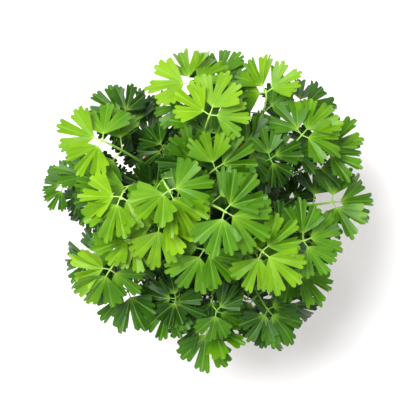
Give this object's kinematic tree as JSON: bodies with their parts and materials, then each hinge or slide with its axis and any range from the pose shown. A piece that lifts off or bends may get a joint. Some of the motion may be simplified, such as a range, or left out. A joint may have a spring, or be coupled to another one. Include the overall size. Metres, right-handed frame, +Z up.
{
  "type": "potted parsley",
  "caption": "Round clump of flat-leaf parsley with toothed three-lobed leaflets on slender stalks, growing in a plain tapered clay pot with a rim band and drain holes.",
  "frame": {"origin": "centre of the flat underside of the pot, on the surface that it stands on", "axes": "+Z up along the pot's axis; the plant has no front, and +X and +Y are level"},
  "size_m": [0.2622, 0.2545, 0.2485],
  "materials": {
    "clay": "matte",
    "soil": "matte",
    "crown": "satin",
    "leaf": "satin"
  },
  "bodies": {
    "root": {"clay_pot": "clay", "potting_soil": "soil", "crown_1": "crown", "crown_2": "crown", "crown_3": "crown", "crown_4": "crown", "crown_5": "crown", "crown_6": "crown", "crown_7": "crown", "crown_8": "crown", "crown_9": "crown", "leaf_01": "leaf", "leaf_02": "leaf", "leaf_03": "leaf", "leaf_04": "leaf", "leaf_05": "leaf", "leaf_06": "leaf", "leaf_07": "leaf", "leaf_08": "leaf", "leaf_09": "leaf", "leaf_10": "leaf", "leaf_11": "leaf", "leaf_12": "leaf", "leaf_13": "leaf", "leaf_14": "leaf", "leaf_15": "leaf", "leaf_16": "leaf", "leaf_17": "leaf", "leaf_18": "leaf", "leaf_19": "leaf", "leaf_20": "leaf", "leaf_21": "leaf", "leaf_22": "leaf", "leaf_23": "leaf", "leaf_24": "leaf", "leaf_25": "leaf", "leaf_26": "leaf", "leaf_27": "leaf", "leaf_28": "leaf", "leaf_29": "leaf", "leaf_30": "leaf", "leaf_31": "leaf", "leaf_32": "leaf", "leaf_33": "leaf", "leaf_34": "leaf", "leaf_35": "leaf", "leaf_36": "leaf", "leaf_37": "leaf", "leaf_38": "leaf", "leaf_39": "leaf", "leaf_40": "leaf", "leaf_41": "leaf", "leaf_42": "leaf", "leaf_43": "leaf", "leaf_44": "leaf", "leaf_45": "leaf", "leaf_46": "leaf", "leaf_47": "leaf", "leaf_48": "leaf", "leaf_49": "leaf"}
  },
  "joints": []
}
